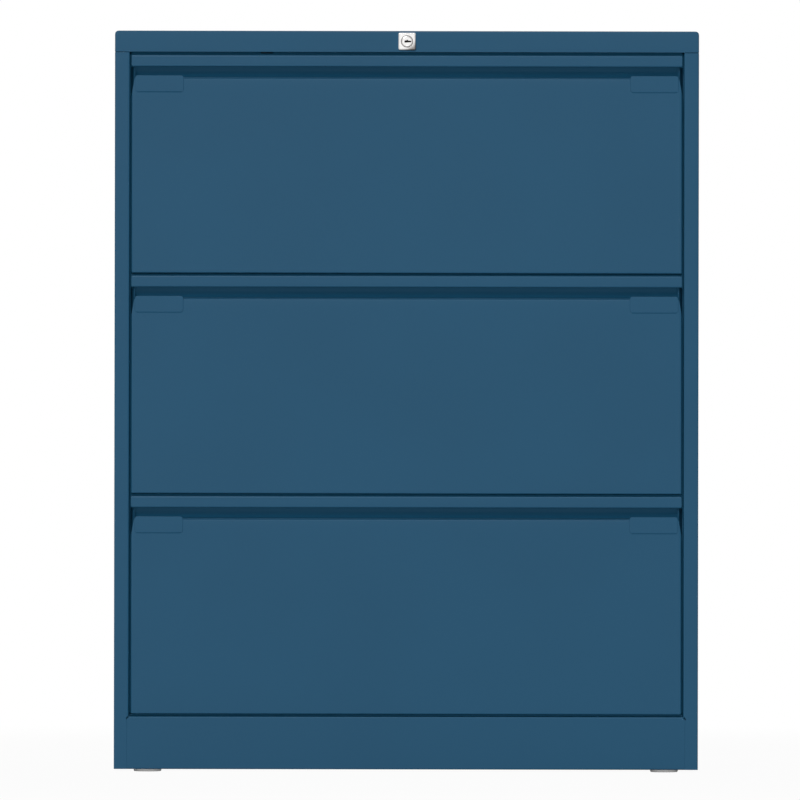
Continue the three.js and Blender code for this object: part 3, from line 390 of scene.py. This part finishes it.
for name, piece in nodes.items():
    finish = finish_of[name]
    piece.material_slots[0].material = finishes[finish]
    piece.data.shade_smooth()
    weld = piece.modifiers.new("weld", "WELD")
    weld.merge_threshold = 0.00005
    edge = piece.modifiers.new("edge", "BEVEL")
    edge.width = OWN_EDGE.get(name, EDGE[finish])
    edge.use_clamp_overlap = name == "lock_housing"
    edge.segments = 3
    edge.limit_method = "ANGLE"
    edge.angle_limit = math.radians(50)
    shade = piece.modifiers.new("shade", "WEIGHTED_NORMAL")
    shade.keep_sharp = False
print("soft edges on", len(nodes), "pieces")

# %% [markdown]
# ## Tools for modelling by hand
#
# The next pieces are modelled as by hand: a primitive, a few faces or edges picked, an operator. By hand the picking is
# done with the mouse; in a script it is done by place and direction. `pick_faces` and `pick_edges` select what passes
# a test, `open_piece` starts edit mode, and `keep_piece` names the result, gives it its finish and lets it ride on one
# of the cabinet's bodies. What repeats is modelled once, and `placed_copy` sets out copies, each with its own mesh.

# %% Picking, keeping and copying
def clear_selection():
    bpy.ops.object.select_all(action="DESELECT")


def open_piece():
    bpy.ops.object.transform_apply(location=True, rotation=True, scale=True)
    bpy.ops.object.mode_set(mode="EDIT")


def close_piece():
    bpy.ops.object.mode_set(mode="OBJECT")
    return bpy.context.object


def pick_faces(test):
    bpy.ops.mesh.select_mode(type="FACE")
    bpy.ops.mesh.select_all(action="DESELECT")
    shape = bmesh.from_edit_mesh(bpy.context.object.data)
    for face in shape.faces:
        face.select_set(bool(test(face.calc_center_median(), face.normal)))
    bmesh.update_edit_mesh(bpy.context.object.data)


def pick_edges(test):
    bpy.ops.mesh.select_mode(type="EDGE")
    bpy.ops.mesh.select_all(action="DESELECT")
    shape = bmesh.from_edit_mesh(bpy.context.object.data)
    for edge in shape.edges:
        start, end = (corner.co for corner in edge.verts)
        edge.select_set(bool(test((start + end) / 2, (end - start).normalized())))
    bmesh.update_edit_mesh(bpy.context.object.data)


def keep_piece(piece, name, body, slot, smooth=30):
    piece.name = name
    if not piece.data.materials:
        piece.data.materials.append(finishes[slot])
    clear_selection()
    piece.select_set(True)
    bpy.context.view_layer.objects.active = piece
    bpy.ops.object.shade_smooth_by_angle(angle=math.radians(smooth))
    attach(piece, body)
    return piece


def placed_copy(piece, shift, flip=False):
    twin = piece.copy()
    twin.data = piece.data.copy()
    if flip:
        twin.data.transform(Matrix.Scale(-1.0, 4, (1.0, 0.0, 0.0)))
        twin.data.flip_normals()
    twin.data.transform(Matrix.Translation(shift))
    scene.collection.objects.link(twin)
    return twin


def apply_cut(piece, tool, operation):
    clear_selection()
    piece.select_set(True)
    bpy.context.view_layer.objects.active = piece
    cut = piece.modifiers.new("cut", "BOOLEAN")
    cut.operation = operation
    cut.object = tool
    cut.solver = "EXACT"
    bpy.ops.object.modifier_apply(modifier=cut.name)
    bpy.data.objects.remove(tool)


drawer_foot = {n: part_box(f"drawer_{n}_front_panel")[0][2] for n in (1, 2, 3)}
print("drawers stand at", {n: round(z, 4) for n, z in drawer_foot.items()})

# %% [markdown]
# ## The lock plug
#
# The key goes into a round plug that turns in the square lock face. A real plug is turned from bar: its nose is a
# little smaller than the bore, so a dark ring shows round it, a fine ring is cut into its face, and the keyway is a
# flat wedge, thicker at one end. The CAD plug is a plain cylinder with a slot, so a new one stands for it. It starts as
# a cylinder; insets draw the rings on its front, and the ring faces are then pushed in. Two booleans cut the keyway,
# and a third adds the square tail that carries the cam.

# %% Turn the plug
plug_low, plug_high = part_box("lock_barrel")
PLUG_RADIUS = (plug_high[0] - plug_low[0]) / 2
PLUG_FRONT = plug_low[1]
TAIL_LENGTH = 0.002
LOCK_X = (plug_low[0] + plug_high[0]) / 2
LOCK_Z = (plug_low[2] + plug_high[2]) / 2
plug_back = plug_high[1] - TAIL_LENGTH

clear_selection()
bpy.ops.mesh.primitive_cylinder_add(
    vertices=96, radius=PLUG_RADIUS, depth=plug_back - PLUG_FRONT,
    location=(LOCK_X, (PLUG_FRONT + plug_back) / 2, LOCK_Z), rotation=(math.pi / 2, 0.0, 0.0),
)
open_piece()


def from_axis(place):
    return math.hypot(place.x - LOCK_X, place.z - LOCK_Z)


for width in (0.0008, 0.0022, 0.0004):
    pick_faces(lambda place, normal: normal.y < -0.9 and from_axis(place) < 0.0005)
    bpy.ops.mesh.inset(thickness=width)
for inner, outer, depth in ((0.0073, 0.0079, 0.0016), (0.0046, 0.0050, 0.0003)):
    pick_faces(lambda place, normal: normal.y < -0.9 and inner < from_axis(place) < outer)
    bpy.ops.mesh.extrude_region_move(TRANSFORM_OT_translate={"value": (0.0, depth, 0.0)})
pick_edges(lambda place, way: abs(place.y - PLUG_FRONT) < 1e-6 and abs(way.y) < 0.1
           and abs(from_axis(place) - 0.0072) < 0.0001)
bpy.ops.mesh.bevel(offset=0.0002, segments=3, affect="EDGES")
plug = close_piece()
print("plug with", len(plug.data.polygons), "faces")

# %% Cut the keyway and add the tail
KEYWAY_LENGTH = 0.0093
KEYWAY_WIDTH = 0.0032
KEYWAY_SHIFT = 0.0012


def wedge_block(length, depth, width, place, taper):
    clear_selection()
    bpy.ops.mesh.primitive_cube_add(size=1.0, location=place, scale=(length, depth, width))
    open_piece()
    pick_faces(lambda _, normal: normal.x > 0.9)
    bpy.ops.transform.resize(value=(1.0, 1.0, taper))
    return close_piece()


keyway_middle = (LOCK_X + KEYWAY_SHIFT, PLUG_FRONT, LOCK_Z)
apply_cut(plug, wedge_block(KEYWAY_LENGTH, 0.008, KEYWAY_WIDTH, keyway_middle, 0.62), "DIFFERENCE")
rib_place = (LOCK_X + 0.0004, PLUG_FRONT, LOCK_Z + KEYWAY_WIDTH / 2)
apply_cut(plug, wedge_block(0.0018, 0.008, 0.0016, rib_place, 0.8), "DIFFERENCE")
tail_place = (LOCK_X, plug_back, LOCK_Z)
apply_cut(plug, wedge_block(0.005, 2 * TAIL_LENGTH, 0.005, tail_place, 1.0), "UNION")
print("plug with keyway and tail:", len(plug.data.polygons), "faces")

# %% [markdown]
# A plug's ring and keyway are narrow hollows that sit in shade. So the ring's faces get a dull grey finish of their own
# and the keyway's a black one, both painted shade. A small shutter, black as painted shade too, closes the keyway a
# little way in, as it does in a real lock.

# %% Painted shade in the ring and keyway, and a black shutter
def dull_finish(name, deep, light):
    material, start, place = new_finish(name)
    speckle = place.noise(1800.0, 3.0)
    close_finish(start, {
        "Base Color": speckle.mix(deep, light),
        "Roughness": speckle * 0.2 + 0.6,
        "Specular IOR Level": 0.12,
    })
    return material


# painted shade: the keyway's black and the ring's grey stand in for the shade in these narrow hollows
keyway_painted_shade = dull_finish("keyway_painted_shade_black", (0.006, 0.005, 0.005, 1), (0.014, 0.012, 0.011, 1))
ring_painted_shade = dull_finish("ring_painted_shade", (0.30, 0.28, 0.27, 1), (0.42, 0.40, 0.38, 1))
for finish in (finishes["nickel"], keyway_painted_shade, ring_painted_shade):
    plug.data.materials.append(finish)
for face in plug.data.polygons:
    if PLUG_FRONT + 0.0004 < face.center.y < PLUG_FRONT + 0.0045:
        face.material_index = 2 if from_axis(face.center) > 0.0068 else 1
keep_piece(plug, "lock_plug", "lock_barrel", "nickel")
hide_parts("lock_barrel")

shutter_place = (keyway_middle[0], PLUG_FRONT + 0.0022, LOCK_Z)
shutter = wedge_block(KEYWAY_LENGTH - 0.0002, 0.0018, KEYWAY_WIDTH - 0.0002, shutter_place, 0.62)
bpy.ops.object.mode_set(mode="EDIT")
pick_faces(lambda _, normal: normal.y < -0.9)
bpy.ops.mesh.inset(thickness=0.0004)
bpy.ops.transform.translate(value=(0.0, 0.0003, 0.0))
shutter = close_piece()
# painted shade: the shutter is black to stand in for the shade deep in the keyway
shutter.data.materials.append(keyway_painted_shade)
keep_piece(shutter, "keyway_shutter", "lock_barrel", "nickel")
print("lock plug and shutter ride on the lock barrel")

# %% [markdown]
# ## Ends of the grip rails
#
# Each grip rail is a folded strip, open at both ends. A small plate is tucked into each end, so that fingers don't meet
# a raw edge. The plate follows the rail's section: square at the top, round where the scoop sweeps forward, and short
# in front so that it stays out of sight. A flat box with two bevelled edges is enough.

# %% Rail end plates
rail_low, rail_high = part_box("drawer_1_grip_rail")
PLATE = 0.001
END_X = -0.3722
PLATE_BACK = rail_high[1] - 0.0013
PLATE_FRONT = PLATE_BACK - 0.0112
PLATE_TOP = rail_high[2] - 0.0013
PLATE_FOOT = rail_low[2] + 0.0014

clear_selection()
bpy.ops.mesh.primitive_cube_add(
    size=1.0, location=(END_X, (PLATE_FRONT + PLATE_BACK) / 2, (PLATE_FOOT + PLATE_TOP) / 2),
    scale=(PLATE, PLATE_BACK - PLATE_FRONT, PLATE_TOP - PLATE_FOOT),
)
open_piece()
pick_edges(lambda place, way: abs(way.x) > 0.9 and place.z < PLATE_FOOT + 1e-5 and place.y > PLATE_BACK - 1e-5)
bpy.ops.mesh.bevel(offset=0.0098, segments=8, affect="EDGES")
pick_edges(lambda place, way: abs(way.x) > 0.9 and place.z < PLATE_FOOT + 1e-5 and place.y < PLATE_FRONT + 1e-5)
bpy.ops.mesh.bevel(offset=0.0008, segments=2, affect="EDGES")
pick_edges(lambda place, way: abs(abs(place.x - END_X) - PLATE / 2) < 1e-5 and abs(way.x) < 0.1)
bpy.ops.mesh.bevel(offset=0.0002, segments=2, affect="EDGES")
end_plate = close_piece()
for n in (1, 2, 3):
    lower = Vector((0.0, 0.0, drawer_foot[n] - drawer_foot[1]))
    for side in ("left", "right"):
        plate = placed_copy(end_plate, lower, flip=side == "right")
        keep_piece(plate, f"drawer_{n}_rail_end_{side}", f"drawer_{n}", "front_paint")
bpy.data.objects.remove(end_plate)
print("six rail end plates,", round(PLATE_TOP - PLATE_FOOT, 4), "m high")

# %% [markdown]
# ## Gussets beside the grip
#
# The face panel narrows towards the grip, so the gap at its side widens there. A folded gusset stands in that corner
# behind the gap and ties the panel's side flange to the inner front. It is a thin box, turned so that it leans back
# and outward. One cut lets its lower part narrow with the panel.

# %% Corner gussets
GUSSET_TOP = drawer_foot[1] + 0.2826
GUSSET_BEND = drawer_foot[1] + 0.2695
GUSSET_FOOT = drawer_foot[1] + 0.246
GUSSET_SHEET = 0.0008
INNER_EDGE = Vector((-0.3730, -0.2260))
OUTER_EDGE = Vector((-0.3780, -0.2095))

lean = OUTER_EDGE - INNER_EDGE
middle = (INNER_EDGE + OUTER_EDGE) / 2
clear_selection()
bpy.ops.mesh.primitive_cube_add(
    size=1.0, location=(middle.x, middle.y, (GUSSET_FOOT + GUSSET_TOP) / 2),
    scale=(GUSSET_SHEET, lean.length, GUSSET_TOP - GUSSET_FOOT), rotation=(0.0, 0.0, math.atan2(-lean.x, lean.y)),
)
open_piece()
bpy.ops.mesh.select_all(action="SELECT")
bpy.ops.mesh.bisect(plane_co=(0.0, 0.0, GUSSET_BEND), plane_no=(0.0, 0.0, 1.0))
pick_edges(lambda place, way: place.z < GUSSET_FOOT + 1e-5 and place.y < INNER_EDGE.y + 0.001)
bpy.ops.transform.translate(value=(0.8 * lean.x, 0.8 * lean.y, 0.0))
pick_edges(lambda place, way: place.z > GUSSET_BEND and abs(way.z) > 0.9)
bpy.ops.mesh.bevel(offset=0.0002, segments=2, affect="EDGES")
gusset = close_piece()
for n in (1, 2, 3):
    lower = Vector((0.0, 0.0, drawer_foot[n] - drawer_foot[1]))
    for side in ("left", "right"):
        twin = placed_copy(gusset, lower, flip=side == "right")
        keep_piece(twin, f"drawer_{n}_gusset_{side}", f"drawer_{n}", "inner_paint")
bpy.data.objects.remove(gusset)
print("six gussets,", round(lean.length, 4), "m wide")

# %% [markdown]
# ## Paint under the corner tabs
#
# Where a corner tab laps over the face panel, the powder runs together under its lower edge and sets as a small slope.
# That slope looks down, gets less light than the panel, and draws the thin dark line under each tab. It is a slim
# bar: a box whose lower front edge is pushed back almost to the panel.

# %% Paint slopes
panel_low, panel_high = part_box("drawer_1_front_panel")
TAB_PROUD = 0.0008
TAB_FOOT = drawer_foot[1] + 0.2486
TAB_INNER = 0.306
TAB_OUTER = 0.372
SLOPE = 0.0014

clear_selection()
slope_middle = (-(TAB_INNER + TAB_OUTER) / 2, panel_low[1] + TAB_PROUD / 2 + 0.00002, TAB_FOOT - SLOPE / 2)
slope_size = (TAB_OUTER - TAB_INNER - 0.005, TAB_PROUD - 0.00006, SLOPE)
bpy.ops.mesh.primitive_cube_add(size=1.0, location=slope_middle, scale=slope_size)
open_piece()
pick_edges(lambda place, way: abs(way.x) > 0.9 and place.z < TAB_FOOT - 0.9 * SLOPE and place.y < slope_middle[1])
bpy.ops.transform.translate(value=(0.0, slope_size[1] - 0.00004, 0.0))
paint_slope = close_piece()
for n in (1, 2, 3):
    lower = Vector((0.0, 0.0, drawer_foot[n] - drawer_foot[1]))
    for side in ("left", "right"):
        slope = placed_copy(paint_slope, lower, flip=side == "right")
        keep_piece(slope, f"drawer_{n}_tab_slope_{side}", f"drawer_{n}", "front_paint")
bpy.data.objects.remove(paint_slope)
print("six paint slopes,", round(slope_size[0], 4), "m long")

# %% [markdown]
# ## Rivets
#
# The trays are riveted to the runners, four rivets a side. A blind rivet has a low domed head with a small hole in the
# middle where the pin broke off. One head is modelled from a flat cylinder: the top edge is bevelled wide to make the
# dome, and the middle is inset and pushed in.

# %% One rivet head
def rivet_head(radius, height):
    clear_selection()
    bpy.ops.mesh.primitive_cylinder_add(vertices=24, radius=radius, depth=height, location=(0.0, 0.0, height / 2))
    open_piece()
    pick_edges(lambda place, way: place.z > 0.99 * height and abs(way.z) < 0.1)
    bpy.ops.mesh.bevel(offset=0.8 * height, segments=4, affect="EDGES")
    pick_faces(lambda place, normal: normal.z > 0.9 and math.hypot(place.x, place.y) < 0.1 * radius)
    bpy.ops.mesh.inset(thickness=0.35 * radius)
    bpy.ops.mesh.inset(thickness=0.1 * radius)
    bpy.ops.transform.translate(value=(0.0, 0.0, -0.4 * height))
    return close_piece()


def rivet_set(head, places, turn):
    heads = []
    for place in places:
        twin = placed_copy(head, (0.0, 0.0, 0.0))
        twin.data.transform(Matrix.Translation(place) @ turn)
        heads.append(twin)
    clear_selection()
    for twin in heads:
        twin.select_set(True)
    bpy.context.view_layer.objects.active = heads[0]
    bpy.ops.object.join()
    return heads[0]


head = rivet_head(0.003, 0.001)
print("rivet head with", len(head.data.polygons), "faces")

# %% Rivets in the trays
tray_low, tray_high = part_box("drawer_1_runner_inner_right")
WALL_X = tray_low[0] - 0.0009
RIVETS_Y = [tray_low[1] + share * (tray_high[1] - tray_low[1]) for share in (0.06, 0.35, 0.65, 0.94)]
for n in (1, 2, 3):
    height = drawer_foot[n] + 0.07
    for side, sign in (("left", -1.0), ("right", 1.0)):
        places = [(sign * WALL_X, y, height) for y in RIVETS_Y]
        turn = Matrix.Rotation(-sign * math.pi / 2, 4, "Y")
        rivets = rivet_set(head, places, turn)
        keep_piece(rivets, f"drawer_{n}_tray_rivets_{side}", f"drawer_{n}", "zinc")
bpy.data.objects.remove(head)
print("rivets at", [round(y, 3) for y in RIVETS_Y], "on both walls of each tray")

# %% [markdown]
# ## Shield behind the lock's link
#
# A flat link runs under the top from the lock to the lock bar. A long folded strip hangs behind it, so that papers can't
# foul the link, and it closes the view through the gap above the top drawer. It starts as a thin upright box. Two cuts
# part off its top and its foot, and the faces there are pulled back into a flange under the top and a narrow hem.

# %% Link shield
SHIELD_SHEET = 0.001
SHIELD_HALF = 0.378
SHIELD_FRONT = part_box("lock_link_guide")[1][1] + 0.0012
SHIELD_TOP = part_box("lock_crank_bracket")[1][2]
SHIELD_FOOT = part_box("drawer_1_grip_rail")[1][2] + 0.0018

clear_selection()
bpy.ops.mesh.primitive_cube_add(
    size=1.0, location=(0.0, SHIELD_FRONT + SHIELD_SHEET / 2, (SHIELD_FOOT + SHIELD_TOP) / 2),
    scale=(2 * SHIELD_HALF, SHIELD_SHEET, SHIELD_TOP - SHIELD_FOOT),
)
open_piece()
for height in (SHIELD_FOOT + SHIELD_SHEET, SHIELD_TOP - SHIELD_SHEET):
    bpy.ops.mesh.select_all(action="SELECT")
    bpy.ops.mesh.bisect(plane_co=(0.0, 0.0, height), plane_no=(0.0, 0.0, 1.0))
pick_faces(lambda place, normal: normal.y > 0.9 and place.z > SHIELD_TOP - SHIELD_SHEET)
bpy.ops.mesh.extrude_region_move(TRANSFORM_OT_translate={"value": (0.0, 0.012, 0.0)})
pick_faces(lambda place, normal: normal.y > 0.9 and place.z < SHIELD_FOOT + SHIELD_SHEET)
bpy.ops.mesh.extrude_region_move(TRANSFORM_OT_translate={"value": (0.0, 0.005, 0.0)})
pick_edges(lambda place, way: abs(way.x) > 0.9 and place.y < SHIELD_FRONT + 1e-5
           and min(place.z - SHIELD_FOOT, SHIELD_TOP - place.z) < 1e-5)
bpy.ops.mesh.bevel(offset=0.0008, segments=4, affect="EDGES")
shield = close_piece()
keep_piece(shield, "link_shield", "carcase", "inner_paint")
print("link shield hangs to", round(SHIELD_FOOT, 4), "m")

# %% [markdown]
# ## Lips behind the stiles
#
# The drawers' inner fronts stop a hair short of the stiles. A thin painted angle is fixed inside each stile and reaches
# behind that slit, so the lock bar and the runners don't show through it. A narrow upright strip is cut along its
# length, and its outer part is pulled forward to lie against the stile's return.

# %% Stile lips
LIP_SHEET = 0.0008
LIP_INNER = -0.3780
LIP_OUTER = -0.38135
LIP_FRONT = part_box("drawer_1_tray")[0][1] + 0.0016
LIP_FOOT = drawer_foot[3] + 0.002
LIP_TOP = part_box("drawer_1_tray")[1][2] - 0.0012
LIP_WING = 0.0136

clear_selection()
bpy.ops.mesh.primitive_cube_add(
    size=1.0, location=((LIP_INNER + LIP_OUTER) / 2, LIP_FRONT + LIP_SHEET / 2, (LIP_FOOT + LIP_TOP) / 2),
    scale=(LIP_INNER - LIP_OUTER, LIP_SHEET, LIP_TOP - LIP_FOOT),
)
open_piece()
bpy.ops.mesh.select_all(action="SELECT")
bpy.ops.mesh.bisect(plane_co=(LIP_OUTER + LIP_SHEET, 0.0, 0.0), plane_no=(1.0, 0.0, 0.0))
pick_faces(lambda place, normal: normal.y < -0.9 and place.x < LIP_OUTER + LIP_SHEET)
bpy.ops.mesh.extrude_region_move(TRANSFORM_OT_translate={"value": (0.0, -LIP_WING, 0.0)})
pick_edges(lambda place, way: abs(way.z) > 0.9 and place.x < LIP_OUTER + 1e-5 and place.y > LIP_FRONT + 1e-5)
bpy.ops.mesh.bevel(offset=0.0006, segments=3, affect="EDGES")
lip = close_piece()
for side in ("left", "right"):
    twin = placed_copy(lip, (0.0, 0.0, 0.0), flip=side == "right")
    keep_piece(twin, f"stile_lip_{side}", "carcase", "inner_paint")
bpy.data.objects.remove(lip)
print("two stile lips,", round(LIP_TOP - LIP_FOOT, 4), "m long")

# %% [markdown]
# ## Cross strips
#
# Between two drawers a flat strip ties the front uprights together. There is just room for its thickness between the
# top of one inner front and the foot of the next, and it closes the slit that they leave. The strip starts as a long
# flat box. Two cuts part off its ends, which are pulled back into ears that reach the uprights.

# %% One cross strip
STRIP_HALF = 0.3781
STRIP_EAR = 0.03
STRIP_FRONT = LIP_FRONT
STRIP_BACK = STRIP_FRONT + 0.016
STRIP_SHEET = 0.0012
STRIP_Z = (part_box("drawer_2_tray")[1][2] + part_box("drawer_1_tray")[0][2]) / 2

clear_selection()
bpy.ops.mesh.primitive_cube_add(
    size=1.0, location=(0.0, (STRIP_FRONT + STRIP_BACK) / 2, STRIP_Z),
    scale=(2 * STRIP_HALF, STRIP_BACK - STRIP_FRONT, STRIP_SHEET),
)
open_piece()
for cut_x in (STRIP_EAR - STRIP_HALF, STRIP_HALF - STRIP_EAR):
    bpy.ops.mesh.select_all(action="SELECT")
    bpy.ops.mesh.bisect(plane_co=(cut_x, 0.0, 0.0), plane_no=(1.0, 0.0, 0.0))
pick_faces(lambda place, normal: normal.y > 0.9 and abs(place.x) > STRIP_HALF - STRIP_EAR)
bpy.ops.mesh.extrude_region_move(TRANSFORM_OT_translate={"value": (0.0, 0.026, 0.0)})
pick_edges(lambda place, way: abs(way.z) > 0.9 and abs(place.x) < STRIP_HALF - 1e-5 and place.y > STRIP_BACK + 1e-5)
bpy.ops.mesh.bevel(offset=0.008, segments=5, affect="EDGES")
strip = close_piece()
print("cross strip with", len(strip.data.polygons), "faces at", round(STRIP_Z, 4), "m")

# %% A strip between each two drawers
for n in (1, 2):
    twin = placed_copy(strip, (0.0, 0.0, drawer_foot[n] - drawer_foot[1]))
    keep_piece(twin, f"cross_strip_{n}", "carcase", "inner_paint")
bpy.data.objects.remove(strip)
print("two cross strips")

# %% [markdown]
# ## Release levers
#
# A drawer lifts out of its runners after a black lever on each inner runner is pressed. The lever lies in the runner's
# channel and shows when the drawer is pulled out. It starts as a flat bar: one end is narrowed, the other is turned out
# into a finger tab, and all edges are rounded as moulded nylon has them.

# %% One release lever
channel_low, channel_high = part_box("drawer_1_runner_inner_right")
LEVER_LENGTH = 0.058
LEVER_HEIGHT = 0.010
LEVER_THICK = 0.0024
LEVER_X = channel_low[0] + 0.0016 + LEVER_THICK / 2
LEVER_Y = channel_low[1] + 0.095
LEVER_Z = (channel_low[2] + channel_high[2]) / 2

clear_selection()
bpy.ops.mesh.primitive_cube_add(
    size=1.0, location=(LEVER_X, LEVER_Y, LEVER_Z), scale=(LEVER_THICK, LEVER_LENGTH, LEVER_HEIGHT),
)
open_piece()
bpy.ops.mesh.select_all(action="SELECT")
bpy.ops.mesh.bisect(plane_co=(0.0, LEVER_Y - 0.017, 0.0), plane_no=(0.0, 1.0, 0.0))
pick_faces(lambda place, normal: normal.x > 0.9 and place.y < LEVER_Y - 0.017)
bpy.ops.mesh.inset(thickness=0.0012)
bpy.ops.mesh.extrude_region_move(TRANSFORM_OT_translate={"value": (0.0016, 0.0, 0.0)})
pick_faces(lambda _, normal: normal.y > 0.9)
bpy.ops.transform.resize(value=(1.0, 1.0, 0.55))
pick_edges(lambda place, way: abs(way.x) > 0.9 and abs(place.y - LEVER_Y) > 0.45 * LEVER_LENGTH)
bpy.ops.mesh.bevel(offset=0.0022, segments=4, affect="EDGES")
pick_edges(lambda place, way: abs(place.x - LEVER_X) > 0.4 * LEVER_THICK and abs(way.x) < 0.1)
bpy.ops.mesh.bevel(offset=0.0003, segments=2, affect="EDGES")
lever = close_piece()
print("lever with", len(lever.data.polygons), "faces")

# %% Levers in the runners
for n in (1, 2, 3):
    lower = Vector((0.0, 0.0, drawer_foot[n] - drawer_foot[1]))
    for side in ("left", "right"):
        twin = placed_copy(lever, lower, flip=side == "left")
        keep_piece(twin, f"drawer_{n}_release_lever_{side}", f"drawer_{n}", "foot_plastic")
bpy.data.objects.remove(lever)
print("six release levers")
